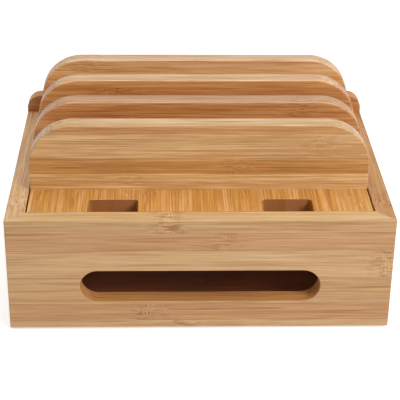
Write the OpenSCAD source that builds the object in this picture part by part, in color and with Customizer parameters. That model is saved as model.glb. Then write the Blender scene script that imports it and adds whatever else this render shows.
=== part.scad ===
// Bamboo charging station organizer: an open box with a lift-off platform that carries four dividers.
// X is the width, the front face looks along -Y, and the rubber feet stand on z = 0.

/* [Box] */
// Width over the side walls
body_w = 300; // [250:1:380]
// Depth from the front face to the rear face
body_d = 219; // [180:1:280]
// Height of the front and side walls
wall_h = 96; // [78:1:130]
// Thickness of the front and side walls
wall_t = 15; // [12:0.1:20]
// Thickness of the rear panel
rear_t = 12.5; // [10:0.1:18]
// Rise of the rear panel above the side walls
rear_rise = 15.4; // [6:0.1:24]
// Radius of the rear panel's top corners
rear_corner_r = 12.5; // [3:0.1:15]

/* [Front slot and cord opening] */
// Width of the front slot
slot_w = 187.6; // [80:0.1:210]
// Height of the front slot
slot_h = 27.7; // [15:0.1:34]
// Height of the slot's middle above the underside of the walls
slot_z = 37.7; // [34:0.1:50]
// Width of the cord opening in the rear panel
cord_w = 52; // [24:1:100]
// Height of the cord opening in the rear panel
cord_h = 22; // [12:1:28]

/* [Platform] */
// Thickness of the platform
platform_t = 12; // [8:0.1:16]
// Gap between the platform and each side wall
platform_side_gap = 1.2; // [0.5:0.1:4]
// Gap between the platform and the front wall
platform_front_gap = 0.5; // [0.5:0.1:4]
// Gap between the platform and the rear panel
platform_rear_gap = 1.3; // [0.5:0.1:4]
// Width of a cable opening
cable_w = 39.1; // [15:0.1:46]
// Depth of a cable opening, front to back
cable_d = 19.9; // [8:0.1:22]
// Corner radius of a cable opening
cable_r = 3.5; // [1:0.1:3.5]
// Distance from the middle of the platform to each row of cable openings
cable_x = 68; // [35:0.1:78]

/* [Dividers] */
// Height of a divider above the platform
divider_h = 55.5; // [40:0.1:110]
// Thickness of a divider
divider_t = 15; // [11:0.1:18]
// Radius of a divider's top corners
divider_corner_r = 35; // [5:0.1:39]
// Distance from the platform's front edge to the first divider
divider_setback = 36.7; // [30:0.1:44]
// Gap between a divider's ends and the side walls' inner faces
divider_side_gap = 0.5; // [0.3:0.1:4]

/* [Base and ledges] */
// Thickness of the base panel
base_t = 6; // [4:0.1:9]
// Width of the rebate that holds the base panel
rebate_w = 7; // [6:0.1:8]
// Width of a ledge strip
ledge_w = 12; // [8:0.1:14]
// Height of a ledge strip
ledge_h = 12; // [10:0.1:20]
// Diameter of a rubber foot
foot_d = 14; // [8:0.1:18]
// Height of a rubber foot
foot_h = 2; // [1.5:0.1:5]
// Distance from the inner wall faces to the middle of a foot
foot_inset = 12; // [10:0.1:20]

/* [Joinery] */
// Thickness of a mitre spline
spline_t = 3; // [2:0.1:3.6]
// Width of a mitre spline across the joint
spline_w = 12; // [8:0.1:12]
// Distance from the inner corner to the spline, along the mitre
spline_inset = 7; // [6:0.1:8]
// Length of wall left uncut above and below a spline
spline_stop = 14; // [12:0.1:24]
// Diameter of a rear dowel
dowel_d = 6; // [4:0.1:8]
// Length of a rear dowel inside the side wall
dowel_in_side = 14; // [8:0.1:24]
// Length of a rear dowel inside the rear panel
dowel_in_rear = 7.5; // [4:0.1:8]
// Distance from the walls' edges to the outer dowels
dowel_end = 22; // [16:0.1:30]
// Diameter of a divider screw's shank
divider_screw_d = 3.5; // [2.5:0.1:4]
// Length of a divider screw
divider_screw_l = 30; // [24:0.1:40]
// Distance from the platform's side edges to the outer divider screws
divider_screw_end = 22; // [14:0.1:24]
// Diameter of a base or ledge screw's shank
small_screw_d = 3; // [2:0.1:3]
// Length of a base screw
base_screw_l = 16; // [12:0.1:18]
// Distance from the outer faces to the outer base screws
base_screw_end = 40; // [34:0.1:60]
// Length of a ledge screw
ledge_screw_l = 20; // [16:0.1:22]
// Distance from a ledge's ends to its outer screws
ledge_screw_end = 25; // [10:0.1:40]

/* [Hidden] */

$fn = 72;

// How far a cutting shape runs past the face that it leaves
cut_over = 5;
// Clearance round a dowel, a spline and a screw in its hole
pin_gap = 0.1;
// Space left beyond the end of a dowel, a spline or a screw
end_gap = 0.5;
// Gap between the base panel and the walls of its rebate
base_gap = 0.2;
// Gap between a ledge's ends and the front and rear walls
ledge_end_gap = 0.4;
// A screw head's diameter is this many times its shank's
head_ratio = 1.9;
// Depth, arm width and length of a screw's cross recess as shares of the head's diameter
recess_depth = 0.2;
recess_arm = 0.1;
recess_l = 0.6;
// Length and blunt tip of a screw's point as shares of its diameter
point_share = 1.2;
tip_share = 0.2;
// Straight stretch that a rounded corner leaves on its side
straight_left = 0.5;
// Angle of a mitred corner
mitre = 45;
divider_count = 4;

bottom_z = foot_h;
top_z = bottom_z + wall_h;
front_y = -body_d / 2;
rear_y = body_d / 2;
inner_front_y = front_y + wall_t;
inner_rear_y = rear_y - rear_t;
inner_x = body_w / 2 - wall_t;

platform_w = 2 * (inner_x - platform_side_gap);
platform_front_y = inner_front_y + platform_front_gap;
platform_rear_y = inner_rear_y - platform_rear_gap;
platform_d = platform_rear_y - platform_front_y;
platform_z = top_z - platform_t;

divider_pitch = (platform_d - divider_setback - divider_t) / (divider_count - 1);
divider_gap = divider_pitch - divider_t;
divider_w = 2 * (inner_x - divider_side_gap);
divider_screw_x = platform_w / 2 - divider_screw_end;

ledge_l = inner_rear_y - inner_front_y - 2 * ledge_end_gap;
ledge_y = (inner_front_y + inner_rear_y) / 2;
ledge_z = platform_z - ledge_h;
ledge_face_x = inner_x - ledge_w;

rebate_x = inner_x + rebate_w;
rebate_front_y = inner_front_y - rebate_w;
rebate_rear_y = inner_rear_y + rebate_w;

wood = [0.83, 0.67, 0.46];
wood_dark = [0.74, 0.53, 0.34];
wood_orange = [0.82, 0.60, 0.33];
wood_pale = [0.87, 0.76, 0.58];
steel = [0.72, 0.72, 0.74];
rubber = [0.13, 0.13, 0.13];

// Y of the front face of divider i, counted from 1
function divider_y(i) = platform_front_y + divider_setback + (i - 1) * divider_pitch;
// Y of the middle of cable opening i: 0 is the front notch, the others lie between two dividers
function cable_y(i) = i == 0 ? platform_front_y + cable_d / 2 : divider_y(i) + divider_t + divider_gap / 2;
// Largest radius up to r that leaves a straight stretch on a side of length l
function fitted_r(r, l) = min(r, l - straight_left);

// Outlines

module stadium(w, h) {
    square([w - h, h], center = true);
    for (side = [-1, 1]) translate([side * (w - h) / 2, 0]) circle(d = h);
}

module rounded_rect(w, d, r) {
    square([w - 2 * r, d], center = true);
    square([w, d - 2 * r], center = true);
    for (sx = [-1, 1], sy = [-1, 1]) translate([sx * (w / 2 - r), sy * (d / 2 - r)]) circle(r = r);
}

// A board's front outline, standing on y = 0, with its two top corners rounded
module round_top(w, h, r) {
    intersection() {
        translate([-w / 2, 0]) square([w, h]);
        union() {
            translate([-w / 2, 0]) square([w, h - r]);
            translate([-w / 2 + r, 0]) square([w - 2 * r, h]);
            for (side = [-1, 1]) translate([side * (w / 2 - r), h - r]) circle(r = r);
        }
    }
}

// Stands an outline drawn in XY up in XZ, with its front at y = 0 and its back at y = depth
module stand(depth) {
    translate([0, depth, 0]) rotate([90, 0, 0]) linear_extrude(height = depth) children();
}

// Screws point along +Z from the face of the head at z = 0

function head_d(d) = d * head_ratio;
function cone_h(d) = (head_d(d) - d) / 2;

module screw(d, length) {
    point_l = d * point_share;
    arm_l = head_d(d) * recess_l;
    arm_w = head_d(d) * recess_arm;
    difference() {
        union() {
            cylinder(d1 = head_d(d), d2 = d, h = cone_h(d));
            cylinder(d = d, h = length - point_l);
            translate([0, 0, length - point_l]) cylinder(d1 = d, d2 = d * tip_share, h = point_l);
        }
        for (turn = [0, 90]) rotate([0, 0, turn])
            translate([-arm_l / 2, -arm_w / 2, -cut_over])
                cube([arm_l, arm_w, cut_over + head_d(d) * recess_depth]);
    }
}

module screw_hole(d, length) {
    cylinder(d1 = head_d(d) + 2 * pin_gap, d2 = d + 2 * pin_gap, h = cone_h(d));
    cylinder(d = d + 2 * pin_gap, h = length + end_gap);
}

// Places of the joinery, each used for the fastener and for its hole

module at_divider_screws(i) {
    for (step = [-1, 0, 1])
        translate([step * divider_screw_x, divider_y(i) + divider_t / 2, platform_z]) children();
}

module at_base_screws() {
    inset = rebate_w / 2;
    for (step = [-1, 0, 1]) {
        translate([step * (body_w / 2 - base_screw_end), inner_front_y - inset, bottom_z]) children();
        translate([step * (body_w / 2 - base_screw_end), inner_rear_y + inset, bottom_z]) children();
    }
    for (side = [-1, 1], step = [-1, 1])
        translate([side * (inner_x + inset), step * (body_d / 2 - base_screw_end), bottom_z]) children();
}

module at_ledge_screws(side) {
    for (step = [-1, 0, 1])
        translate([side * ledge_face_x, ledge_y + step * (ledge_l / 2 - ledge_screw_end), ledge_z + ledge_h / 2])
            rotate([0, side * 90, 0]) children();
}

// A dowel runs along +Y, from inside the side wall into the rear panel
module at_rear_dowels(side) {
    for (step = [0, 0.5, 1])
        translate([side * (inner_x + wall_t / 2), inner_rear_y,
            bottom_z + dowel_end + step * (wall_h - 2 * dowel_end)])
            rotate([-90, 0, 0]) children();
}

module dowel_hole() {
    translate([0, 0, -dowel_in_side - end_gap])
        cylinder(d = dowel_d + 2 * pin_gap, h = dowel_in_side + dowel_in_rear + 2 * end_gap);
}

// The spline's plate stands on the mitre plane and crosses it at a right angle
module spline_plate(side, gap) {
    translate([side * (inner_x + spline_inset * sin(mitre)), inner_front_y - spline_inset * cos(mitre),
        bottom_z + spline_stop - gap])
        rotate([0, 0, side * mitre])
            translate([-spline_w / 2 - gap, -spline_t / 2 - gap, 0])
                cube([spline_w + 2 * gap, spline_t + 2 * gap, wall_h - 2 * spline_stop + 2 * gap]);
}

module base_rebate() {
    translate([-rebate_x, rebate_front_y, bottom_z - cut_over])
        cube([2 * rebate_x, rebate_rear_y - rebate_front_y, base_t + cut_over]);
}

// Walls of the box

module front_panel() {
    color(wood)
    difference() {
        translate([0, 0, bottom_z]) linear_extrude(height = wall_h)
            polygon([[-body_w / 2, front_y], [body_w / 2, front_y],
                [inner_x, inner_front_y], [-inner_x, inner_front_y]]);
        translate([0, front_y - cut_over, bottom_z + slot_z])
            stand(wall_t + 2 * cut_over) stadium(slot_w, slot_h);
        base_rebate();
        at_base_screws() screw_hole(small_screw_d, base_screw_l);
        for (side = [-1, 1]) spline_plate(side, pin_gap);
    }
}

module side_panel(side) {
    color(wood)
    difference() {
        translate([0, 0, bottom_z]) linear_extrude(height = wall_h)
            polygon([[side * body_w / 2, front_y], [side * body_w / 2, inner_rear_y],
                [side * inner_x, inner_rear_y], [side * inner_x, inner_front_y]]);
        base_rebate();
        at_base_screws() screw_hole(small_screw_d, base_screw_l);
        at_ledge_screws(side) screw_hole(small_screw_d, ledge_screw_l);
        at_rear_dowels(side) dowel_hole();
        spline_plate(side, pin_gap);
    }
}

module rear_panel() {
    panel_h = wall_h + rear_rise;
    color(wood)
    difference() {
        translate([0, inner_rear_y, bottom_z])
            stand(rear_t) round_top(body_w, panel_h, fitted_r(rear_corner_r, rear_rise));
        translate([0, inner_rear_y - cut_over, bottom_z + slot_z])
            stand(rear_t + 2 * cut_over) stadium(cord_w, cord_h);
        base_rebate();
        at_base_screws() screw_hole(small_screw_d, base_screw_l);
        for (side = [-1, 1]) at_rear_dowels(side) dowel_hole();
    }
}

module base_panel() {
    color(wood_dark)
    difference() {
        translate([-rebate_x + base_gap, rebate_front_y + base_gap, bottom_z])
            cube([2 * (rebate_x - base_gap), rebate_rear_y - rebate_front_y - 2 * base_gap, base_t]);
        at_base_screws() screw_hole(small_screw_d, base_screw_l);
    }
}

module ledge(side) {
    color(wood_dark)
    difference() {
        translate([side * (inner_x - ledge_w / 2), ledge_y, ledge_z + ledge_h / 2])
            cube([ledge_w, ledge_l, ledge_h], center = true);
        at_ledge_screws(side) screw_hole(small_screw_d, ledge_screw_l);
    }
}

// Hidden joinery

module corner_spline(side) {
    color(wood_pale) spline_plate(side, 0);
}

module rear_dowels(side) {
    color(wood_pale) at_rear_dowels(side)
        translate([0, 0, -dowel_in_side]) cylinder(d = dowel_d, h = dowel_in_side + dowel_in_rear);
}

module ledge_screws(side) {
    color(steel) at_ledge_screws(side) screw(small_screw_d, ledge_screw_l);
}

module base_screws() {
    color(steel) at_base_screws() screw(small_screw_d, base_screw_l);
}

module foot(side_x, side_y) {
    foot_y = side_y < 0 ? inner_front_y + foot_inset : inner_rear_y - foot_inset;
    color(rubber)
    translate([side_x * (inner_x - foot_inset), foot_y, 0])
        cylinder(d1 = foot_d - foot_h, d2 = foot_d, h = foot_h);
}

// Platform and dividers, which lift off together

module platform() {
    color(wood_orange)
    difference() {
        translate([-platform_w / 2, platform_front_y, platform_z])
            cube([platform_w, platform_d, platform_t]);
        for (side = [-1, 1], i = [0 : divider_count - 1])
            translate([side * cable_x, cable_y(i), platform_z - cut_over])
                linear_extrude(height = platform_t + 2 * cut_over) {
                    rounded_rect(cable_w, cable_d, cable_r);
                    if (i == 0) translate([-cable_w / 2, -cable_d / 2 - cut_over])
                        square([cable_w, cable_d / 2 + cut_over]);
                }
        for (i = [1 : divider_count]) at_divider_screws(i) screw_hole(divider_screw_d, divider_screw_l);
    }
}

module divider(i) {
    color(wood)
    difference() {
        translate([0, divider_y(i), top_z])
            stand(divider_t) round_top(divider_w, divider_h, fitted_r(divider_corner_r, divider_h));
        at_divider_screws(i) screw_hole(divider_screw_d, divider_screw_l);
    }
}

module divider_screws() {
    color(steel) for (i = [1 : divider_count]) at_divider_screws(i) screw(divider_screw_d, divider_screw_l);
}

front_panel();
side_panel(-1);  // left_side_panel
side_panel(1);  // right_side_panel
rear_panel();
base_panel();
ledge(-1);  // left_ledge
ledge(1);  // right_ledge
corner_spline(-1);  // left_corner_spline
corner_spline(1);  // right_corner_spline
rear_dowels(-1);  // left_rear_dowels
rear_dowels(1);  // right_rear_dowels
ledge_screws(-1);  // left_ledge_screws
ledge_screws(1);  // right_ledge_screws
base_screws();
foot(-1, -1);  // foot_front_left
foot(1, -1);  // foot_front_right
foot(-1, 1);  // foot_rear_left
foot(1, 1);  // foot_rear_right
platform();
divider(1);  // divider_1
divider(2);  // divider_2
divider(3);  // divider_3
divider(4);  // divider_4
divider_screws();
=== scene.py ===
import math
import random

import bmesh
import bpy
from mathutils import Matrix, Vector


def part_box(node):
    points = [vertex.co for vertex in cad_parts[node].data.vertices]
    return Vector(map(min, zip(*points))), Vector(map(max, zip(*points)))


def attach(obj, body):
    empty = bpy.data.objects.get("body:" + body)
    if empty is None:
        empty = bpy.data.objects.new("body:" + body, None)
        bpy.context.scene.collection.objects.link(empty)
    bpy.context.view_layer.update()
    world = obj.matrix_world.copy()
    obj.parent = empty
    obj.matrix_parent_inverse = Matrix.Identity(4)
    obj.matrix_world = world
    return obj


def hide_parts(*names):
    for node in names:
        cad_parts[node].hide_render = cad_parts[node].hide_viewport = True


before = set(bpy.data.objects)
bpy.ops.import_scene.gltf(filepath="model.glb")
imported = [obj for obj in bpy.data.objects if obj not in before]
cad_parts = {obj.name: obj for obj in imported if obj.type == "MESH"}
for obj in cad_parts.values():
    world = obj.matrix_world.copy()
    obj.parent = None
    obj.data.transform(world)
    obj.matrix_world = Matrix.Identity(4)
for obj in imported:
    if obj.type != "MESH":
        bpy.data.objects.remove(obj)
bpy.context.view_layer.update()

# Sizes in metres, beside those that the frame gives

WALL_EDGE_R = 0.0009
INNER_EDGE_R = 0.0004
DIVIDER_EDGE_R = 0.0012
PLATFORM_EDGE_R = 0.0004
EDGE_STEPS = 4
SLOT_W, SLOT_H, SLOT_Z = 0.1876, 0.0277, 0.0397
CORD_W, CORD_H = 0.052, 0.022
CABLE_W, CABLE_D, CABLE_R, CABLE_X = 0.0391, 0.0199, 0.0035, 0.068
DIVIDER_CORNER_R = 0.035
REAR_CORNER_R = 0.0125
REBATE_W, REBATE_H = 0.007, 0.006
HEAD_RATIO = 1.9
CUT_OVER = 0.005
PIN_GAP = 0.0001
TINY = 0.00002
SHARP = math.radians(30)
ROUND_STEPS = 14
HEAD_RIM_T = 0.0003
FOOT_RIM_R = 0.0008
DIMPLE_D = 0.0005

# Shares of a screw's width, its head's width or a foot's radius, and how many sides each has

POINT_L, POINT_TIP = 1.2, 0.2
CROSS_L, CROSS_W, CROSS_D, CROSS_TAPER = 0.3, 0.06, 0.24, 0.45
DIMPLE_IN, DIMPLE_SLOPE = 0.35, 0.12
SCREW_SIDES, FOOT_SIDES = 32, 48

X, Y, Z = 0, 1, 2

# Screws: shank, length, axis and the side of the head

SCREWS = {
    "base_screws": (0.003, 0.016, Z, -1),
    "divider_screws": (0.0035, 0.030, Z, -1),
    "left_ledge_screws": (0.003, 0.020, X, 1),
    "right_ledge_screws": (0.003, 0.020, X, -1),
}

# Bamboo, in mm: strips, layers and knuckles, and the steps that keep their patterns apart

MM = 1000
LAYER_T = 4.95
LAYER_SEED = 3.7
GLUE_CORE_W = 0.12
GLUE_W = 0.5
KNUCKLE_PITCH = 262.0
ONE_KNUCKLE = 1000.0
TOP_EDGE_FROM = 90.0
ANY_HEIGHT = -1000.0
NARROW_KNUCKLE = 0.5
ROW_SPAN = 400.0
ROW_SEED = 0.137
SEED_SPAN = 90.0
FAR_OFF = 99.0
SEED_ALONG, SEED_ACROSS = 371.0, 117.0
KNUCKLE_SEED = 53.0
STRIP_WIDTHS, LEAST_STRIP_W = (14, 24), 8
KNUCKLE_PLACES, KNUCKLE_STRENGTHS = (-130, 130), (0.4, 1.0)

# Varnish, and what the fibres, marks and cut ends do to a strip's colour

VARNISH = 0.4
VARNISH_ROUGH = 0.27
VARNISHED_IOR = 1.48
PLAIN = (1, 1, 1)
FIBRE_DARK, FIBRE_PALE = (0.79, 0.665, 0.50, 1), (1.17, 1.26, 1.46, 1)
FIBRE_COOL, FIBRE_WARM = (1.0, 1.0, 1.03, 1), (1.01, 1.0, 0.94, 1)
HAIR_TINT = (0.68, 0.50, 0.34, 1)
STAIN_TINT = (0.62, 0.38, 0.24, 1)
RIB_TINT = (1.20, 1.28, 1.38, 1)
GLUE_TINT = (0.62, 0.43, 0.28, 1)
END_TINT, SPECK_TINT = (0.92, 0.80, 0.70, 1), (0.60, 0.46, 0.36, 1)
CLOUD_TINT = (0.82, 0.70, 0.62, 1)

# Studio: lamps in watts, places in metres, and the camera's turns in degrees

WHITE = (1, 1, 1, 1)
WORLD_LIGHT = 0.1
ROOM_TINT = (0.86, 0.76, 0.62, 1)
FLOOR_PAINT = (0.86, 0.86, 0.86, 1)
FLOOR_ROUGH = 0.9
FLOOR_W = 12
FLOOR_GLOW = 0.55
LAMP_AIM = (0, 0, 0.06)
KEY_PLACE, KEY_W, KEY_POWER = (1.158, -1.381, 1.322), 0.9, 28
TOP_PLACE, TOP_W, TOP_POWER = (0, 0, 1.86), 2.0, 27
CAMERA_PLACE = (-0.03113, -0.95983, 0.56213)
CAMERA_PITCH, CAMERA_YAW, CAMERA_ROLL = 27.675, -2.014, 0.780
CAMERA_LENS, CAMERA_SENSOR = 114.79, 36


# Workshop: each function acts on one piece and leaves nothing else picked

def work_on(piece):
    """Picks this piece alone, so that the next operator acts on nothing else."""
    bpy.ops.object.select_all(action="DESELECT")
    piece.select_set(True)
    bpy.context.view_layer.objects.active = piece


def block(name, low, high):
    """A sawn block between two opposite corners."""
    bpy.ops.object.select_all(action="DESELECT")
    low, high = Vector(low), Vector(high)
    bpy.ops.mesh.primitive_cube_add(size=1, location=(low + high) / 2)
    piece = bpy.context.active_object
    bpy.ops.transform.resize(value=high - low)
    bpy.ops.object.transform_apply(location=True, rotation=True, scale=True)
    piece.name = piece.data.name = name
    return piece


def copy_of(piece, name):
    """A second piece of the same shape, with a mesh of its own."""
    work_on(piece)
    bpy.ops.object.duplicate()
    twin = bpy.context.active_object
    twin.name = twin.data.name = name
    return twin


def moved(piece, by):
    """Moves the piece's mesh, and leaves its object at the origin."""
    work_on(piece)
    bpy.ops.transform.translate(value=by)
    bpy.ops.object.transform_apply(location=True, rotation=True, scale=True)
    return piece


def pick_edges(piece, wanted):
    """Opens the piece with its outward corners picked, where both of an edge's ends suit."""
    work_on(piece)
    bpy.ops.object.mode_set(mode="EDIT")
    bpy.ops.mesh.select_mode(type="EDGE")
    bpy.ops.mesh.select_all(action="DESELECT")
    mesh = bmesh.from_edit_mesh(piece.data)
    for edge in mesh.edges:
        if edge.calc_face_angle_signed(0) > SHARP and wanted(edge.verts[0].co, edge.verts[1].co):
            edge.select_set(True)
    bmesh.update_edit_mesh(piece.data)


def open_at_face(piece, choose):
    """Opens the piece with one face picked: the highest for max, or the lowest for min."""
    bpy.ops.object.mode_set(mode="EDIT")
    bpy.ops.mesh.select_mode(type="FACE")
    bpy.ops.mesh.select_all(action="DESELECT")
    mesh = bmesh.from_edit_mesh(piece.data)
    choose(mesh.faces, key=lambda face: face.calc_center_median().z).select_set(True)
    bmesh.update_edit_mesh(piece.data)


def round_edges(piece, radius, steps, wanted):
    """Rounds the picked edges over to a radius."""
    pick_edges(piece, wanted)
    bpy.ops.mesh.bevel(offset=radius, offset_type="OFFSET", segments=steps, profile=0.5,
        affect="EDGES", clamp_overlap=False, loop_slide=False)
    bpy.ops.mesh.select_all(action="SELECT")
    bpy.ops.mesh.remove_doubles(threshold=TINY)
    bpy.ops.object.mode_set(mode="OBJECT")


def along(axis):
    """Suits an edge that runs along one axis."""
    others = [i for i in (X, Y, Z) if i != axis]
    return lambda a, b: all(abs(a[i] - b[i]) < TINY for i in others)


def on(axis, value):
    """Suits an edge that lies on a plane square to one axis."""
    return lambda a, b: abs(a[axis] - value) < TINY and abs(b[axis] - value) < TINY


def cut(piece, *cutters):
    """Cuts the cutters out of the piece, and throws them away."""
    for cutter in cutters:
        tool = piece.modifiers.new("cut", "BOOLEAN")
        tool.operation = "DIFFERENCE"
        tool.solver = "EXACT"
        tool.object = cutter
        work_on(piece)
        bpy.ops.object.modifier_apply(modifier=tool.name)
        bpy.data.objects.remove(cutter)
    return piece


def saw(piece, point, normal, keep_both=False):
    """Saws through the piece at a plane. The side that the normal points to falls away, unless both stay."""
    work_on(piece)
    bpy.ops.object.mode_set(mode="EDIT")
    bpy.ops.mesh.select_all(action="SELECT")
    bpy.ops.mesh.bisect(plane_co=point, plane_no=normal, threshold=TINY / 10,
        use_fill=not keep_both, clear_outer=not keep_both)
    bpy.ops.object.mode_set(mode="OBJECT")


def joined(pieces, name):
    """One object of several separate solids."""
    work_on(pieces[0])
    for piece in pieces:
        piece.select_set(True)
    bpy.ops.object.join()
    whole = bpy.context.active_object
    whole.name = whole.data.name = name
    return whole


def router_bit(name, low, high, radius, axis):
    """A cutter with its four edges along one axis rounded, for a slot or an opening."""
    bit = block(name, low, high)
    round_edges(bit, radius, ROUND_STEPS, along(axis))
    return bit


def merged_copy(node, name):
    """A closed copy of a node of the frame, whose own mesh is loose triangles."""
    twin = copy_of(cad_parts[node], name)
    twin.data.materials.clear()
    for key in list(twin.keys()):
        del twin[key]
    twin.parent = None
    work_on(twin)
    bpy.ops.object.mode_set(mode="EDIT")
    bpy.ops.mesh.select_all(action="SELECT")
    bpy.ops.mesh.remove_doubles(threshold=TINY / 4)
    bpy.ops.object.mode_set(mode="OBJECT")
    return twin


def pocket(node, name):
    """A cutter that leaves a thin gap round a node of the frame."""
    twin = merged_copy(node, name)
    bpy.ops.object.mode_set(mode="EDIT")
    bpy.ops.mesh.select_all(action="SELECT")
    bpy.ops.transform.shrink_fatten(value=PIN_GAP, use_even_offset=True)
    bpy.ops.object.mode_set(mode="OBJECT")
    return twin


def island_boxes(node):
    """The lowest and highest corner of each separate solid in a node of the frame."""
    twin = merged_copy(node, "loose")
    bpy.ops.object.mode_set(mode="EDIT")
    bpy.ops.mesh.separate(type="LOOSE")
    bpy.ops.object.mode_set(mode="OBJECT")
    boxes = []
    for part in list(bpy.context.selected_objects):
        places = [vertex.co for vertex in part.data.vertices]
        low = Vector([min(place[i] for place in places) for i in (X, Y, Z)])
        high = Vector([max(place[i] for place in places) for i in (X, Y, Z)])
        boxes.append((low, high))
        bpy.data.objects.remove(part)
    return sorted(boxes, key=lambda box: tuple(round(c, 4) for c in box[0]))


def finished(piece, body, slot, material, *nodes):
    """Evens the shading, gives the piece its finish, and seats it in the frame."""
    work_on(piece)
    bpy.ops.object.mode_set(mode="EDIT")
    bpy.ops.mesh.select_all(action="SELECT")
    bpy.ops.mesh.remove_doubles(threshold=TINY / 4)
    bpy.ops.object.mode_set(mode="OBJECT")
    bpy.ops.object.shade_smooth_by_angle(angle=SHARP)
    even = piece.modifiers.new("even", "WEIGHTED_NORMAL")
    even.keep_sharp = True
    bpy.ops.object.modifier_apply(modifier=even.name)
    piece.data.materials.clear()
    piece.data.materials.append(material)
    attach(piece, body)
    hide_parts(*nodes)


# Colours and node building

def colour(red, green, blue):
    """A paint colour, 0 to 255, as the linear colour that a shader reads."""
    def linear(value):
        """One channel of the paint colour, as the shader reads it."""
        value /= 255
        return value / 12.92 if value <= 0.04045 else ((value + 0.055) / 1.055) ** 2.4
    return (linear(red), linear(green), linear(blue), 1)


def feed(tree, socket, value):
    """Links a socket to another, or sets it to a number, vector or colour."""
    if isinstance(value, bpy.types.NodeSocket):
        tree.links.new(value, socket)
    else:
        socket.default_value = value


def put(tree, kind, values=None, **settings):
    """Adds a shader node, with its settings and what goes into its sockets."""
    node = tree.nodes.new("ShaderNode" + kind)
    for name, value in settings.items():
        setattr(node, name, value)
    for name, value in (values or {}).items():
        feed(tree, node.inputs[name], value)
    return node


def calc(tree, operation, *values):
    """A sum of one to three numbers."""
    node = put(tree, "Math", operation=operation)
    for socket, value in zip(node.inputs, values):
        feed(tree, socket, value)
    return node.outputs[0]


def vector_calc(tree, operation, *values):
    """A sum of two vectors."""
    node = put(tree, "VectorMath", operation=operation)
    for socket, value in zip(node.inputs, values):
        feed(tree, socket, value)
    return node.outputs[0]


def blend(tree, share, first, second):
    """The first colour, giving way to the second by a share from 0 to 1."""
    node = put(tree, "Mix", data_type="RGBA")
    feed(tree, node.inputs[0], share)
    feed(tree, node.inputs[6], first)
    feed(tree, node.inputs[7], second)
    return node.outputs[2]


def blend_value(tree, share, first, second):
    """The first number, giving way to the second by a share."""
    node = put(tree, "Mix", data_type="FLOAT")
    feed(tree, node.inputs[0], share)
    feed(tree, node.inputs[2], first)
    feed(tree, node.inputs[3], second)
    return node.outputs[0]


def ramp_up(tree, value, start, end):
    """0 below the start, 1 above the end, and a smooth step between them."""
    return put(tree, "MapRange", {"Value": value, "From Min": start, "From Max": end},
        interpolation_type="SMOOTHSTEP").outputs[0]


def noise(tree, place, stretch, detail=2.0, rough=0.5):
    """Cloudy noise from 0 to 1, whose clouds are about as long as the stretch each way, in mm."""
    shrunk = vector_calc(tree, "MULTIPLY", place, [1 / length for length in stretch])
    return put(tree, "TexNoise", {"Vector": shrunk, "Scale": 1.0, "Detail": detail,
        "Roughness": rough}).outputs[0]


def swing(tree, value, amount):
    """A number from 0 to 1 as a swing to both sides of zero."""
    return calc(tree, "MULTIPLY", calc(tree, "SUBTRACT", value, 0.5), amount)


def mm(value):
    """Metres as millimetres, for materials."""
    return value * MM


def place_in_mm(tree):
    """Where a point lies on its piece, in mm."""
    return vector_calc(tree, "MULTIPLY", put(tree, "TexCoord").outputs["Object"], (MM, MM, MM))


def new_material(name):
    """A material, its node tree and its shader."""
    material = bpy.data.materials.new(name)
    material.use_nodes = True
    return material, material.node_tree, material.node_tree.nodes["Principled BSDF"]


def add_bump(tree, shader, height, strength, distance):
    """Raises a surface by a height from 0 to 1, up to a distance in metres."""
    bump = put(tree, "Bump", {"Height": height, "Strength": strength, "Distance": distance})
    feed(tree, shader.inputs["Normal"], bump.outputs[0])


def group(name, inputs, outputs):
    """A new shader node group, with its input and output nodes."""
    tree = bpy.data.node_groups.new(name, "ShaderNodeTree")
    for label, kind in inputs:
        tree.interface.new_socket(name=label, in_out="INPUT", socket_type="NodeSocket" + kind)
    for label, kind in outputs:
        tree.interface.new_socket(name=label, in_out="OUTPUT", socket_type="NodeSocket" + kind)
    return tree, tree.nodes.new("NodeGroupInput").outputs, tree.nodes.new("NodeGroupOutput").inputs


def use(tree, shared, values):
    """Places a shared group in a material."""
    node = put(tree, "Group")
    node.node_tree = shared
    for name, value in values.items():
        feed(tree, node.inputs[name], value)
    return node.outputs


# Bamboo: places are in mm, as along the grain, across the strip and through the board

def fibre_group():
    """Streaks and fine lines along the grain, and the broken dark hairlines among them."""
    tree, given, result = group("fibre", [("Place", "Vector"), ("Seed", "Float")],
        [("Streak", "Float"), ("Line", "Float"), ("Hair", "Float"), ("Relief", "Float"), ("Warmth", "Float")])
    seed = put(tree, "CombineXYZ", {"X": calc(tree, "MULTIPLY", given["Seed"], SEED_ALONG),
        "Y": calc(tree, "MULTIPLY", given["Seed"], SEED_ACROSS), "Z": given["Seed"]}).outputs[0]
    place = vector_calc(tree, "ADD", given["Place"], seed)
    wander = swing(tree, noise(tree, place, (160, 30, 30)), 1.8)
    sway = put(tree, "CombineXYZ", {"Y": wander, "Z": wander}).outputs[0]
    place = vector_calc(tree, "ADD", place, sway)
    streak = noise(tree, place, (140, 3.2, 3.2), 2.0)
    middle = noise(tree, place, (50, 1.25, 1.25), 2.5, 0.55)
    fine = noise(tree, place, (20, 0.42, 0.42), 2.0)
    dark = ramp_up(tree, noise(tree, place, (75, 0.95, 0.95), 1.0), 0.56, 0.68)
    crowd = ramp_up(tree, noise(tree, place, (150, 8, 8), 1.0), 0.42, 0.62)
    feed(tree, result["Streak"], streak)
    feed(tree, result["Line"], blend_value(tree, 0.36, middle, fine))
    feed(tree, result["Hair"], calc(tree, "MULTIPLY", dark, crowd))
    feed(tree, result["Relief"], blend_value(tree, 0.6, middle, fine))
    feed(tree, result["Warmth"], ramp_up(tree, noise(tree, place, (170, 6.5, 6.5), 2.0), 0.32, 0.68))
    return tree


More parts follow.
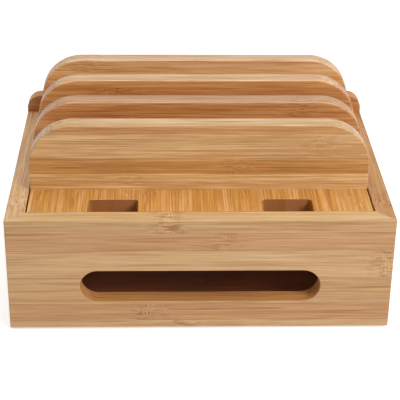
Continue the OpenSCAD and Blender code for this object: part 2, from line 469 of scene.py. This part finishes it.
def knuckle_group():
    """The joint of the cane: pale ribs across the strip, brown stains beside them, and bent fibres."""
    tree, given, result = group("knuckle",
        [("Place", "Vector"), ("Middle", "Float"), ("Pitch", "Float"), ("Seed", "Float"),
            ("Strength", "Float")],
        [("Rib", "Float"), ("Stain", "Float"), ("Bend", "Vector")])
    lift = put(tree, "CombineXYZ", {"X": given["Seed"], "Z": given["Seed"],
        "Y": calc(tree, "MULTIPLY", given["Seed"], KNUCKLE_SEED)}).outputs[0]
    place = vector_calc(tree, "ADD", given["Place"], lift)
    far = calc(tree, "SUBTRACT", put(tree, "SeparateXYZ", {0: given["Place"]}).outputs[0], given["Middle"])
    half = calc(tree, "MULTIPLY", given["Pitch"], 0.5)
    far = calc(tree, "WRAP", far, half, calc(tree, "MULTIPLY", half, -1.0))
    wobble = swing(tree, noise(tree, place, (26, 8, 8), 1.0), 7.0)
    off = calc(tree, "ADD", far, wobble)

    def near(reach):
        """1 at the knuckle, fading out at about a reach in mm to each side."""
        share = calc(tree, "DIVIDE", off, reach)
        return calc(tree, "EXPONENT", calc(tree, "MULTIPLY", calc(tree, "MULTIPLY", share, share), -1.0))

    wave = calc(tree, "MULTIPLY_ADD", calc(tree, "SINE", calc(tree, "MULTIPLY", off, 2.4)), 0.5, 0.5)
    broken = ramp_up(tree, noise(tree, place, (7, 6, 6), 1.0), 0.46, 0.6)
    rib = calc(tree, "MULTIPLY", calc(tree, "MULTIPLY", wave, broken), near(6.0))
    feed(tree, result["Rib"], calc(tree, "MULTIPLY", rib, given["Strength"]))
    smudge = ramp_up(tree, noise(tree, place, (10, 1.6, 1.6), 2.0), 0.47, 0.6)
    stain = calc(tree, "MULTIPLY", smudge, near(12.0))
    feed(tree, result["Stain"], calc(tree, "MULTIPLY", stain, given["Strength"]))
    swell = swing(tree, noise(tree, place, (11, 5, 5), 1.0), near(16.0))
    swell = calc(tree, "MULTIPLY", calc(tree, "MULTIPLY", swell, 7.0), given["Strength"])
    feed(tree, result["Bend"], put(tree, "CombineXYZ", {"Y": swell, "Z": swell}).outputs[0])
    return tree


def end_grain_group():
    """The cut ends of the fibre bundles: dark specks on a cloudy ground."""
    tree, given, result = group("end_grain", [("Place", "Vector")], [("Speck", "Float"), ("Cloud", "Float")])
    flat = vector_calc(tree, "MULTIPLY", given["Place"], (0.02, 1.35, 1.35))
    cells = put(tree, "TexVoronoi", {"Vector": flat, "Scale": 1.0, "Randomness": 0.9})
    ground = ramp_up(tree, cells.outputs["Distance"], 0.12, 0.42)
    feed(tree, result["Speck"], calc(tree, "SUBTRACT", 1.0, ground))
    feed(tree, result["Cloud"], noise(tree, given["Place"], (60, 2.6, 2.6), 2.0))
    return tree


FIBRE, KNUCKLE, END_GRAIN = fibre_group(), knuckle_group(), end_grain_group()


def wide_strips(tree, across, rows, low):
    """Wide strips set edge to edge. Each row is a width, a colour, a knuckle's place and its strength.

    One ramp holds the colours. The other holds the place, a seed and the strength, as red, green and blue.
    """
    height = sum(row[0] for row in rows)
    share = calc(tree, "DIVIDE", calc(tree, "SUBTRACT", across, low), height)
    paint = put(tree, "ValToRGB", {"Fac": share})
    facts = put(tree, "ValToRGB", {"Fac": share})
    edge, nearest = 0, FAR_OFF
    for index, (width, tone, middle, strength) in enumerate(rows):
        fact = (middle / ROW_SPAN + 0.5, (index + 1) * ROW_SEED, strength, 1)
        for node, value in ((paint, tone), (facts, fact)):
            node.color_ramp.interpolation = "CONSTANT"
            stops = node.color_ramp.elements
            if index == 1:
                stops[1].position = edge / height
            stop = stops[index] if index < 2 else stops.new(edge / height)
            stop.color = value
        if index:
            gap = calc(tree, "ABSOLUTE", calc(tree, "SUBTRACT", across, low + edge))
            nearest = calc(tree, "MINIMUM", gap, nearest)
        edge += width
    parts = put(tree, "SeparateColor", {"Color": facts.outputs[0]}).outputs
    strip_seed = calc(tree, "MULTIPLY", parts[1], SEED_SPAN)
    return paint.outputs[0], strip_seed, swing(tree, parts[0], ROW_SPAN), parts[2], nearest


def narrow_strips(tree, across, width, pale, dark):
    """Many narrow strips of one width, each with its own tone."""
    number = calc(tree, "FLOOR", calc(tree, "DIVIDE", across, width))
    draw = put(tree, "TexWhiteNoise", {"W": calc(tree, "ADD", number, 0.5)}, noise_dimensions="1D")
    parts = put(tree, "SeparateColor", {"Color": draw.outputs["Color"]}).outputs
    paint = blend(tree, parts[0], pale, dark)
    nearest = calc(tree, "PINGPONG", across, width / 2)
    strip_seed = calc(tree, "MULTIPLY", parts[1], SEED_SPAN)
    return paint, strip_seed, swing(tree, parts[2], KNUCKLE_PITCH), NARROW_KNUCKLE, nearest


def bamboo(name, grain, strips, contrast=1.0, seed=0.0, outer=0.0, pitch=KNUCKLE_PITCH, fineness=1.0,
        edge=PLAIN, edge_from=ANY_HEIGHT, low_edge=PLAIN, end=PLAIN):
    """Bamboo board: grain names the axes along, across and through it, and strips builds its strips.

    Contrast is that of the fibres, outer is the face from which the board's layers are counted, pitch is
    the length from knuckle to knuckle, and fineness narrows the streaks. Edge tints the faces square to the
    strips beyond a height, as painted sheen and top light over the edge grain's own tone, low_edge tints
    those below it, and end tints the cut ends of the grain, which on the front panel is a painted highlight.
    """
    material, tree, shader = new_material(name)
    in_mm = put(tree, "SeparateXYZ", {0: place_in_mm(tree)}).outputs
    axes = [in_mm["XYZ".index(letter)] for letter in grain]
    place = put(tree, "CombineXYZ", {"X": axes[0], "Y": axes[1], "Z": axes[2]}).outputs[0]
    paint, strip_seed, middle, strength, nearest = strips(tree, axes[1])

    layer = calc(tree, "FLOOR", calc(tree, "DIVIDE", calc(tree, "SUBTRACT", axes[2], outer), LAYER_T))
    ply = put(tree, "TexWhiteNoise", {"W": calc(tree, "ADD", layer, seed + 0.5)}, noise_dimensions="1D")
    seed_here = calc(tree, "ADD", strip_seed, calc(tree, "MULTIPLY_ADD", layer, LAYER_SEED, seed))

    mark = use(tree, KNUCKLE, {"Place": place, "Middle": middle, "Pitch": pitch, "Seed": seed_here,
        "Strength": strength})
    bent = vector_calc(tree, "ADD", place, mark["Bend"])
    bent = vector_calc(tree, "MULTIPLY", bent, (1, fineness, fineness))
    fibre = use(tree, FIBRE, {"Place": bent, "Seed": seed_here})
    ends = use(tree, END_GRAIN, {"Place": place})

    tone = calc(tree, "ADD", swing(tree, fibre["Streak"], 1.5 * contrast),
        swing(tree, fibre["Line"], 2.8 * contrast))
    tone = calc(tree, "ADD", tone, swing(tree, ply.outputs[0], 0.25 * contrast))
    tone = put(tree, "Clamp", {"Value": calc(tree, "ADD", tone, 0.5)}).outputs[0]
    shade = vector_calc(tree, "MULTIPLY", blend(tree, tone, FIBRE_DARK, FIBRE_PALE),
        blend(tree, fibre["Warmth"], FIBRE_COOL, FIBRE_WARM))
    shade = blend(tree, calc(tree, "MULTIPLY", fibre["Hair"], 0.85 * contrast), shade, HAIR_TINT)
    shade = blend(tree, calc(tree, "MULTIPLY", mark["Stain"], 0.95), shade, STAIN_TINT)
    shade = blend(tree, calc(tree, "MULTIPLY", mark["Rib"], 0.9), shade, RIB_TINT)
    glue = calc(tree, "SUBTRACT", 1.0, ramp_up(tree, nearest, GLUE_CORE_W, GLUE_W))
    glue = calc(tree, "MULTIPLY", glue, ramp_up(tree, noise(tree, place, (45, 9, 9), 2.0), 0.34, 0.6))
    shade = blend(tree, calc(tree, "MULTIPLY", glue, 0.7), shade, GLUE_TINT)

    lean = put(tree, "SeparateXYZ", {0: put(tree, "TexCoord").outputs["Normal"]}).outputs
    end_on = ramp_up(tree, calc(tree, "ABSOLUTE", lean["XYZ".index(grain[0])]), 0.55, 0.96)
    # Faces square to the strips get the edge tint above edge_from, painted sheen and top light over the edge
    # grain's tone, and the low_edge tint below it
    edge_on = ramp_up(tree, calc(tree, "ABSOLUTE", lean["XYZ".index(grain[1])]), 0.3, 0.9)
    beyond = calc(tree, "GREATER_THAN", axes[1], edge_from)
    edge_tint = blend(tree, beyond, (*low_edge, 1), (*edge, 1))
    shade = blend(tree, edge_on, shade, vector_calc(tree, "MULTIPLY", shade, edge_tint))
    # Cut ends get end-grain colours times the board's end tint, which on the front panel is a painted
    # highlight on the slot's ends
    cut_end = blend(tree, calc(tree, "MULTIPLY", ends["Speck"], 0.5), END_TINT, SPECK_TINT)
    cut_end = blend(tree, calc(tree, "MULTIPLY", ends["Cloud"], 0.5), cut_end, CLOUD_TINT)
    shade = blend(tree, end_on, shade, vector_calc(tree, "MULTIPLY", cut_end, end))

    feed(tree, shader.inputs["Base Color"], vector_calc(tree, "MULTIPLY", paint, shade))
    polish = calc(tree, "MULTIPLY_ADD", fibre["Relief"], 0.16, 0.40)
    feed(tree, shader.inputs["Roughness"], calc(tree, "MULTIPLY_ADD", end_on, 0.12, polish))
    height = calc(tree, "SUBTRACT", fibre["Relief"], calc(tree, "MULTIPLY", ends["Speck"], end_on))
    height = calc(tree, "SUBTRACT", height, calc(tree, "MULTIPLY", glue, 0.6))
    add_bump(tree, shader, height, 0.35, 0.00006)
    shader.inputs["IOR"].default_value = VARNISHED_IOR
    shader.inputs["Coat Weight"].default_value = VARNISH
    shader.inputs["Coat Roughness"].default_value = VARNISH_ROUGH
    return material


WOOD = colour(190, 146, 93)
WOOD_PALE = colour(199, 157, 105)
WOOD_RED = colour(187, 138, 86)
WOOD_GOLD = colour(198, 145, 80)
HONEY = colour(208, 163, 104)
HONEY_PALE = colour(228, 189, 133)
AMBER = colour(198, 144, 76)
ORANGE = colour(206, 145, 85)
ORANGE_PALE = colour(219, 158, 91)
STRAW = colour(227, 176, 119)
BROWN = colour(187, 126, 66)
# Dark base panel tones, which are painted shade for the inside of the box
SHADED_BASE = colour(139, 84, 58)
SHADED_BASE_RED = colour(134, 78, 52)
WALL_TONES = (WOOD, WOOD_PALE, WOOD_RED, WOOD_GOLD)


def rows_of(*rows):
    """Strips listed from a board's top edge down, as rows from its foot up."""
    return list(reversed(rows))


def drawn_rows(height, seed, tones=WALL_TONES):
    """Strips of mixed widths for a board that the photograph hardly shows."""
    draw = random.Random(seed)
    rows, left = [], height
    while left > 0:
        width = draw.uniform(*STRIP_WIDTHS)
        width = left if left - width < LEAST_STRIP_W else width
        rows.append((width, draw.choice(tones), draw.uniform(*KNUCKLE_PLACES),
            draw.uniform(*KNUCKLE_STRENGTHS)))
        left -= width
    return rows


FRONT_ROWS = rows_of((10.9, WOOD, -25, 1.0), (15.5, WOOD_RED, 19, 0.6), (24.0, WOOD_PALE, 146, 0.9),
    (24.1, WOOD, 70, 0.0), (14.6, WOOD_RED, -41, 1.0), (6.9, WOOD_PALE, -12, 0.9))
LOWER_ROWS_H = 80
SIDE_TOP_ROW = (16.0, WOOD, -78, 1.0)
# The upper strips of the rear dividers and the lowest strips of divider_1 get paler colours, as painted light
# against the shade between the dividers and next to the platform
DIVIDER_ROWS = {
    "divider_1": rows_of((7.0, WOOD_GOLD, 60, 0.0), (21.2, HONEY, 94, 0.4), (13.3, AMBER, 30, 0.35),
        (9.3, HONEY_PALE, -60, 0.3), (4.7, HONEY_PALE, 40, 0.0)),
    "divider_2": rows_of((13.0, ORANGE, 81, 0.6), (18.0, ORANGE, -64, 0.6), (15.0, WOOD, 20, 0.6),
        (9.5, WOOD_RED, -100, 0.6)),
    "divider_3": rows_of((6.8, ORANGE_PALE, 110, 0.0), (19.2, ORANGE, -72, 0.9), (20.0, HONEY, 35, 0.6),
        (9.5, WOOD_GOLD, 100, 0.6)),
    "divider_4": rows_of((14.0, STRAW, -96, 0.5), (20.0, ORANGE_PALE, 60, 0.3), (12.0, HONEY, 5, 0.6),
        (9.5, WOOD, -60, 0.6)),
}
# Tints of each divider's top edge: painted sheen and light from above, over the edge grain's own tone
EDGE_GRAIN_AND_SHEEN_TINTS = {
    "divider_1": (1.07, 1.40, 2.60),
    "divider_2": (0.77, 0.92, 1.48),
    "divider_3": (0.88, 1.19, 2.10),
    "divider_4": (0.82, 0.96, 1.34),
}


def wide(rows, low):
    """Wide strips for bamboo()."""
    return lambda tree, across: wide_strips(tree, across, rows, low)


def narrow(width, pale, dark):
    """Narrow strips for bamboo()."""
    return lambda tree, across: narrow_strips(tree, across, width, pale, dark)


# Steel and rubber

def steel_material():
    """Zinc-plated steel with fine turning marks and a few duller patches."""
    material, tree, shader = new_material("plated_steel")
    place = place_in_mm(tree)
    patch = noise(tree, place, (2.2, 2.2, 2.2), 3.0)
    scratch = noise(tree, place, (0.12, 0.12, 1.5), 2.0)
    feed(tree, shader.inputs["Base Color"], blend(tree, patch, colour(196, 194, 188), colour(160, 160, 164)))
    shader.inputs["Metallic"].default_value = 1.0
    feed(tree, shader.inputs["Roughness"], calc(tree, "MULTIPLY_ADD", patch, 0.25, 0.2))
    add_bump(tree, shader, scratch, 0.3, 0.00002)
    return material


def rubber_material():
    """Moulded black rubber with a fine matt skin and a little dust."""
    material, tree, shader = new_material("black_rubber")
    place = place_in_mm(tree)
    skin = noise(tree, place, (0.3, 0.3, 0.3), 3.0)
    dust = ramp_up(tree, noise(tree, place, (5, 5, 5), 4.0), 0.5, 0.8)
    feed(tree, shader.inputs["Base Color"], blend(tree, dust, colour(38, 38, 39), colour(86, 82, 77)))
    feed(tree, shader.inputs["Roughness"], calc(tree, "MULTIPLY_ADD", skin, 0.3, 0.6))
    add_bump(tree, shader, skin, 0.4, 0.00005)
    return material


# Screws

def screw_blank(name, shank_d, length):
    """A countersunk screw without its recess, head down on z = 0 and pointing up."""
    radius, head_r = shank_d / 2, shank_d * HEAD_RATIO / 2
    point_l = shank_d * POINT_L
    bpy.ops.object.select_all(action="DESELECT")
    bpy.ops.mesh.primitive_cylinder_add(vertices=SCREW_SIDES, radius=head_r, depth=HEAD_RIM_T,
        end_fill_type="NGON", location=(0, 0, HEAD_RIM_T / 2))
    screw = bpy.context.active_object
    screw.name = screw.data.name = name
    bpy.ops.object.transform_apply(location=True, rotation=True, scale=True)
    for rise, narrowing in ((head_r - radius, radius / head_r), (length - head_r + radius - point_l, 1.0),
            (point_l, POINT_TIP)):
        open_at_face(screw, max)
        lift = rise - (HEAD_RIM_T if narrowing == radius / head_r else 0)
        bpy.ops.mesh.extrude_region_move(TRANSFORM_OT_translate={"value": (0, 0, lift)})
        bpy.ops.transform.resize(value=(narrowing, narrowing, 1))
        bpy.ops.object.mode_set(mode="OBJECT")
    return screw


def cross_recess(screw, shank_d):
    """Cuts the cross for the driver into the head."""
    head_d = shank_d * HEAD_RATIO
    arm_l, arm_w, depth = head_d * CROSS_L, head_d * CROSS_W, head_d * CROSS_D
    for size in ((arm_l, arm_w), (arm_w, arm_l)):
        bar = block("bar", (-size[0], -size[1], -CUT_OVER), (size[0], size[1], depth))
        open_at_face(bar, max)
        bpy.ops.transform.resize(value=(CROSS_TAPER, CROSS_TAPER, 1))
        bpy.ops.object.mode_set(mode="OBJECT")
        cut(screw, bar)


def screw_seats(node, axis, head_side):
    """Where each screw of a node has the middle of its head's face."""
    seats = []
    for low, high in island_boxes(node):
        seat = (low + high) / 2
        seat[axis] = low[axis] if head_side < 0 else high[axis]
        seats.append(seat)
    return seats


def at_seats(pattern, seats, axis, head_side, name):
    """Copies of a screw at their seats, all as one object."""
    copies = []
    for seat in seats:
        twin = copy_of(pattern, name)
        if axis == X:
            angle = math.radians(90 if head_side < 0 else -90)
            twin.rotation_euler = (0, angle, 0)
            bpy.ops.object.transform_apply(location=True, rotation=True, scale=True)
        copies.append(moved(twin, seat))
    return joined(copies, name)


# The box

STEEL, RUBBER = steel_material(), rubber_material()
front_low, front_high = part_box("front_panel")
left_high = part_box("left_side_panel")[1]
right_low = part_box("right_side_panel")[0]
rear_low, rear_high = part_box("rear_panel")
platform_low, platform_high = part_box("platform")
inner_x = right_low.x
inner_y = front_high.y


def screw_holes(node, near_low, near_high):
    """Cutters for the screws of a node whose seats lie between two corners."""
    shank, length, axis, side = SCREWS[node]
    seats = [seat for seat in screw_seats(node, axis, side)
        if all(near_low[i] - CUT_OVER < seat[i] < near_high[i] + CUT_OVER for i in (X, Y, Z))]
    if not seats:
        return []
    blank = screw_blank("hole", shank + 2 * PIN_GAP, length + PIN_GAP)
    holes = at_seats(blank, seats, axis, side, "holes")
    bpy.data.objects.remove(blank)
    return [holes]


def make_ring():
    """Front and side walls as one ring, so that its eased edges run on across the mitres."""
    low = (front_low.x, front_low.y, front_low.z)
    high = (front_high.x, left_high.y, front_high.z)
    ring = block("walls", low, high)
    far_y = left_high.y + CUT_OVER
    cut(ring, block("room", (-inner_x, inner_y, 0), (inner_x, far_y, high[2] + CUT_OVER)))
    cut(ring, block("rebate", (-inner_x - REBATE_W, inner_y - REBATE_W, 0),
        (inner_x + REBATE_W, far_y, front_low.z + REBATE_H)))
    cut(ring, router_bit("slot", (-SLOT_W / 2, front_low.y - CUT_OVER, SLOT_Z - SLOT_H / 2),
        (SLOT_W / 2, inner_y + CUT_OVER, SLOT_Z + SLOT_H / 2), SLOT_H / 2 - TINY / 4, Y))

    def outside(a, b):
        """Suits a corner on the outer faces, short of the rear joint."""
        at_the_butt = on(Y, left_high.y)(a, b)
        return not at_the_butt and (abs(a.x) > high[0] - TINY or a.y < low[1] + TINY)

    def inside(a, b):
        """Suits a corner above the rebate, short of the rear joint."""
        return min(a.z, b.z) > front_low.z + REBATE_H + TINY and max(a.y, b.y) < left_high.y + TINY \
            and not on(Y, left_high.y)(a, b)

    round_edges(ring, WALL_EDGE_R, EDGE_STEPS, outside)
    round_edges(ring, INNER_EDGE_R, EDGE_STEPS, inside)
    return ring


def make_walls():
    """Saws the ring at its mitres into the front panel and the two side panels."""
    ring = make_ring()
    right_corner = (front_high.x, front_low.y, 0)
    left_corner = (front_low.x, front_low.y, 0)
    right = copy_of(ring, "right_wall")
    left = copy_of(ring, "left_wall")
    ring.name = ring.data.name = "front_wall"
    saw(ring, right_corner, (1, 1, 0))
    saw(ring, left_corner, (-1, 1, 0))
    saw(right, right_corner, (-1, -1, 0))
    saw(right, (0, 0, 0), (-1, 0, 0))
    saw(left, left_corner, (1, -1, 0))
    saw(left, (0, 0, 0), (1, 0, 0))
    return ring, left, right


front_wall, left_wall, right_wall = make_walls()
cut(front_wall, pocket("left_corner_spline", "groove"), pocket("right_corner_spline", "groove"),
    *screw_holes("base_screws", *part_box("front_panel")))
for wall, side in ((left_wall, "left"), (right_wall, "right")):
    low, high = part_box(side + "_side_panel")
    cut(wall, pocket(side + "_corner_spline", "groove"), pocket(side + "_rear_dowels", "drilling"),
        *screw_holes("base_screws", low, high), *screw_holes(side + "_ledge_screws", low, high))


def make_rear_wall():
    """Rear panel: taller than the side walls, with round shoulders and an opening for the cord."""
    panel = block("rear_wall", rear_low, rear_high)
    saw(panel, (0, 0, front_high.z), (0, 0, 1), keep_both=True)
    round_edges(panel, REAR_CORNER_R, ROUND_STEPS,
        lambda a, b: along(Y)(a, b) and a.z > rear_high.z - TINY)
    cut(panel, block("rebate", (-inner_x - REBATE_W, rear_low.y - CUT_OVER, 0),
        (inner_x + REBATE_W, rear_low.y + REBATE_W, rear_low.z + REBATE_H)))
    cut(panel, router_bit("opening", (-CORD_W / 2, rear_low.y - CUT_OVER, SLOT_Z - CORD_H / 2),
        (CORD_W / 2, rear_high.y + CUT_OVER, SLOT_Z + CORD_H / 2), CORD_H / 2 - TINY / 4, Y))

    def eased(a, b):
        """Suits a corner on the rear face, on the shoulders or round the opening for the cord."""
        behind = on(Y, rear_high.y)(a, b)
        shoulder = on(Y, rear_low.y)(a, b) and min(a.z, b.z) > front_high.z - TINY
        opening = on(Y, rear_low.y)(a, b) and max(abs(a.x), abs(b.x)) < CORD_W / 2 + TINY \
            and min(a.z, b.z) > rear_low.z + REBATE_H + TINY
        return behind or shoulder or opening

    round_edges(panel, WALL_EDGE_R, EDGE_STEPS, eased)
    cut(panel, pocket("left_rear_dowels", "drilling"), pocket("right_rear_dowels", "drilling"),
        *screw_holes("base_screws", *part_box("rear_panel")))
    return panel


rear_wall = make_rear_wall()


# The lift-off platform and its dividers

divider_boxes = {name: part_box(name) for name in sorted(DIVIDER_ROWS)}


def cable_rows():
    """Y of the middle of each row of cable openings: the front notch, then one behind each of three
    dividers.
    """
    rows = [platform_low.y + CABLE_D / 2]
    names = sorted(divider_boxes)
    for near, far in zip(names, names[1:]):
        rows.append((divider_boxes[near][1].y + divider_boxes[far][0].y) / 2)
    return rows


def make_platform():
    """The plate, with a notch or opening on each side for every row of cables."""
    plate = block("lift_off_plate", platform_low, platform_high)
    for index, middle_y in enumerate(cable_rows()):
        for side in (-1, 1):
            middle_x = side * CABLE_X
            front = middle_y - CABLE_D / 2 - (CABLE_R * 2 if index == 0 else 0)
            bit = router_bit("opening", (middle_x - CABLE_W / 2, front, platform_low.z - CUT_OVER),
                (middle_x + CABLE_W / 2, middle_y + CABLE_D / 2, platform_high.z + CUT_OVER), CABLE_R, Z)
            cut(plate, bit)
    round_edges(plate, PLATFORM_EDGE_R, EDGE_STEPS, lambda a, b: True)
    return cut(plate, *screw_holes("divider_screws", platform_low, platform_high))


def make_dividers():
    """One divider with wide round corners, copied to the four places."""
    names = sorted(divider_boxes)
    low, high = divider_boxes[names[0]]
    board = block("board", low, high)
    round_edges(board, DIVIDER_CORNER_R, 2 * ROUND_STEPS,
        lambda a, b: along(Y)(a, b) and a.z > high.z - TINY)
    round_edges(board, DIVIDER_EDGE_R, EDGE_STEPS,
        lambda a, b: (on(Y, low.y)(a, b) or on(Y, high.y)(a, b)) and max(a.z, b.z) > low.z + TINY)
    boards = {}
    for name in names:
        place = divider_boxes[name]
        twin = moved(copy_of(board, name.replace("divider", "upright")), (0, place[0].y - low.y, 0))
        reach = (place[0] - Vector((0, 0, 2 * CUT_OVER)), place[1])
        boards[name] = cut(twin, *screw_holes("divider_screws", *reach))
    bpy.data.objects.remove(board)
    return boards


plate = make_platform()
uprights = make_dividers()

# The front's top edge tint is painted sheen and light from above, and its end tint is a painted highlight on
# the ends of the slot
finished(front_wall, "box", "bamboo_wall",
    bamboo("front_bamboo", "XZY", wide(FRONT_ROWS, mm(front_low.z)), contrast=0.9, seed=1.0,
        outer=mm(front_low.y), pitch=ONE_KNUCKLE, edge=(1.13, 1.30, 1.52), edge_from=TOP_EDGE_FROM,
        low_edge=(1.16, 1.02, 0.86), end=(1.4, 1.5, 1.6)),
    "front_panel")
# The side walls' top edges are tinted too: paler and bluer on the left, as painted sheen, and darker and
# redder on the right
for wall, node, seed, edge in ((left_wall, "left_side_panel", 5, (1.20, 1.33, 1.75)),
        (right_wall, "right_side_panel", 8, (0.88, 0.79, 0.67))):
    rows = drawn_rows(LOWER_ROWS_H, seed) + [SIDE_TOP_ROW]
    finished(wall, "box", "bamboo_wall",
        bamboo(wall.name.replace("wall", "bamboo"), "YZX", wide(rows, mm(front_low.z)), contrast=1.2,
            seed=seed, outer=mm(inner_x), edge=edge, edge_from=TOP_EDGE_FROM), node)
rear_rows = drawn_rows(mm(rear_high.z - rear_low.z), 44, (BROWN, AMBER, WOOD_GOLD))
finished(rear_wall, "box", "bamboo_wall",
    bamboo("rear_bamboo", "XZY", wide(rear_rows, mm(rear_low.z)), seed=2.0, outer=mm(rear_low.y),
        end=(1.0, 0.9, 0.75)), "rear_panel")
finished(plate, "platform", "bamboo_platform",
    bamboo("platform_bamboo", "YXZ", narrow(5.6, colour(210, 157, 90), colour(195, 139, 62)), contrast=1.6,
        seed=4.0, fineness=1.5, end=(0.84, 0.74, 0.95)), "platform")
# Each divider's top edge is tinted with painted sheen and light from above, over the edge grain's tone
for seed, (name, board) in enumerate(sorted(uprights.items())):
    finished(board, "platform", "bamboo_divider",
        bamboo(board.name.replace("upright", "divider_bamboo"), "XZY",
            wide(DIVIDER_ROWS[name], mm(platform_high.z)),
            contrast=1.35, seed=20.0 + 7 * seed, outer=mm(divider_boxes[name][0].y), pitch=ONE_KNUCKLE,
            edge=EDGE_GRAIN_AND_SHEEN_TINTS[name], end=(0.93, 0.85, 0.73)), name)


# Feet and screws

def make_feet():
    """A round rubber foot with an eased rim and a dimple, copied to the four corners."""
    names = ["foot_front_left", "foot_front_right", "foot_rear_left", "foot_rear_right"]
    low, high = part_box(names[0])
    radius = (high.x - low.x) / 2
    bpy.ops.object.select_all(action="DESELECT")
    bpy.ops.mesh.primitive_cylinder_add(vertices=FOOT_SIDES, radius=radius, depth=high.z - low.z,
        end_fill_type="NGON", location=(low + high) / 2)
    foot = bpy.context.active_object
    bpy.ops.object.transform_apply(location=True, rotation=True, scale=True)
    round_edges(foot, FOOT_RIM_R, EDGE_STEPS, on(Z, low.z))
    open_at_face(foot, min)
    bpy.ops.mesh.inset(thickness=radius * DIMPLE_IN)
    bpy.ops.mesh.inset(thickness=radius * DIMPLE_SLOPE)
    bpy.ops.transform.translate(value=(0, 0, DIMPLE_D))
    bpy.ops.object.mode_set(mode="OBJECT")
    for name in names:
        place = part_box(name)[0]
        pad = moved(copy_of(foot, name.replace("foot", "pad")), (place.x - low.x, place.y - low.y, 0))
        finished(pad, "box", "rubber_foot", RUBBER, name)
    bpy.data.objects.remove(foot)


def make_screws():
    """Countersunk screws with a cross recess, one object for each node of screws."""
    for node, (shank, length, axis, side) in SCREWS.items():
        pattern = screw_blank("pattern", shank, length)
        cross_recess(pattern, shank)
        body = "platform" if node == "divider_screws" else "box"
        group_of_screws = at_seats(pattern, screw_seats(node, axis, side), axis, side,
            node.replace("screws", "steel_screws"))
        finished(group_of_screws, body, "steel_screw", STEEL, node)
        bpy.data.objects.remove(pattern)


make_feet()
make_screws()


# Nodes of the frame that keep their shape

def repaint(node, material):
    """Gives a node of the frame its finish."""
    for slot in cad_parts[node].material_slots:
        slot.material = material


base_low, base_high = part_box("base_panel")
# The base panel gets the dark tones, as painted shade inside the box
base_rows = drawn_rows(mm(base_high.y - base_low.y), 31, (SHADED_BASE, SHADED_BASE_RED))
repaint("base_panel", bamboo("base_bamboo", "XYZ", wide(base_rows, mm(base_low.y)), seed=3.0))
LEDGE_BAMBOO = bamboo("ledge_bamboo", "YZX", narrow(12.0, WOOD_PALE, WOOD_RED), seed=6.0)
BEECH = bamboo("beech", "ZXY", narrow(30.0, colour(222, 188, 150), colour(214, 176, 136)),
    contrast=0.5, seed=9.0)
for node in ("left_ledge", "right_ledge"):
    repaint(node, LEDGE_BAMBOO)
for node in ("left_corner_spline", "right_corner_spline", "left_rear_dowels", "right_rear_dowels"):
    repaint(node, BEECH)


# Studio

def rays_seen(tree):
    """The kinds of ray, and 1 for those from the camera, off gloss or through glass."""
    rays = put(tree, "LightPath").outputs
    seen = calc(tree, "MAXIMUM", rays["Is Glossy Ray"], rays["Is Transmission Ray"])
    return rays, calc(tree, "MAXIMUM", rays["Is Camera Ray"], seen)


def make_floor():
    """A plain white floor that keeps the shadow, and reads as white to the camera."""
    bpy.ops.object.select_all(action="DESELECT")
    bpy.ops.mesh.primitive_plane_add(size=FLOOR_W, location=(0, 0, 0))
    floor = bpy.context.active_object
    floor.name = floor.data.name = "floor"
    material, tree, shader = new_material("floor_white")
    shader.inputs["Base Color"].default_value = FLOOR_PAINT
    shader.inputs["Roughness"].default_value = FLOOR_ROUGH
    seen = rays_seen(tree)[1]
    glow = put(tree, "Emission", {"Color": WHITE, "Strength": calc(tree, "MULTIPLY", seen, FLOOR_GLOW)})
    both = put(tree, "AddShader", {0: shader.outputs[0], 1: glow.outputs[0]})
    feed(tree, tree.nodes["Material Output"].inputs["Surface"], both.outputs[0])
    floor.data.materials.append(material)


def make_world():
    """Weak soft light from all round, seen as white, and warmer in gloss."""
    world = bpy.data.worlds.new("studio")
    bpy.context.scene.world = world
    world.use_nodes = True
    tree = world.node_tree
    rays, seen = rays_seen(tree)
    sky = tree.nodes["Background"].inputs
    feed(tree, sky["Strength"], blend_value(tree, seen, WORLD_LIGHT, 1.0))
    feed(tree, sky["Color"], blend(tree, rays["Is Glossy Ray"], WHITE, ROOM_TINT))


def soft_box(name, place, target, size, watts):
    """A square lamp that faces a target."""
    lamp = bpy.data.objects.new(name, bpy.data.lights.new(name, "AREA"))
    bpy.context.scene.collection.objects.link(lamp)
    lamp.data.size = size
    lamp.data.energy = watts
    lamp.location = place
    lamp.rotation_euler = (Vector(target) - Vector(place)).to_track_quat("-Z", "Y").to_euler()


make_floor()
make_world()
soft_box("key_light", KEY_PLACE, LAMP_AIM, KEY_W, KEY_POWER)
soft_box("top_light", TOP_PLACE, LAMP_AIM, TOP_W, TOP_POWER)


def make_camera():
    """The camera stands a little left of the middle and looks down at the front."""
    pitch, yaw, roll = (math.radians(turn) for turn in (CAMERA_PITCH, CAMERA_YAW, CAMERA_ROLL))
    camera = bpy.data.objects.new("camera", bpy.data.cameras.new("camera"))
    bpy.context.scene.collection.objects.link(camera)
    camera.data.sensor_width = CAMERA_SENSOR
    camera.data.lens = CAMERA_LENS
    camera.matrix_world = (Matrix.Translation(CAMERA_PLACE) @ Matrix.Rotation(yaw, 4, "Z")
        @ Matrix.Rotation(math.radians(90) - pitch, 4, "X") @ Matrix.Rotation(roll, 4, "Z"))
    bpy.context.scene.camera = camera


make_camera()
bpy.context.scene.view_settings.view_transform = "Standard"
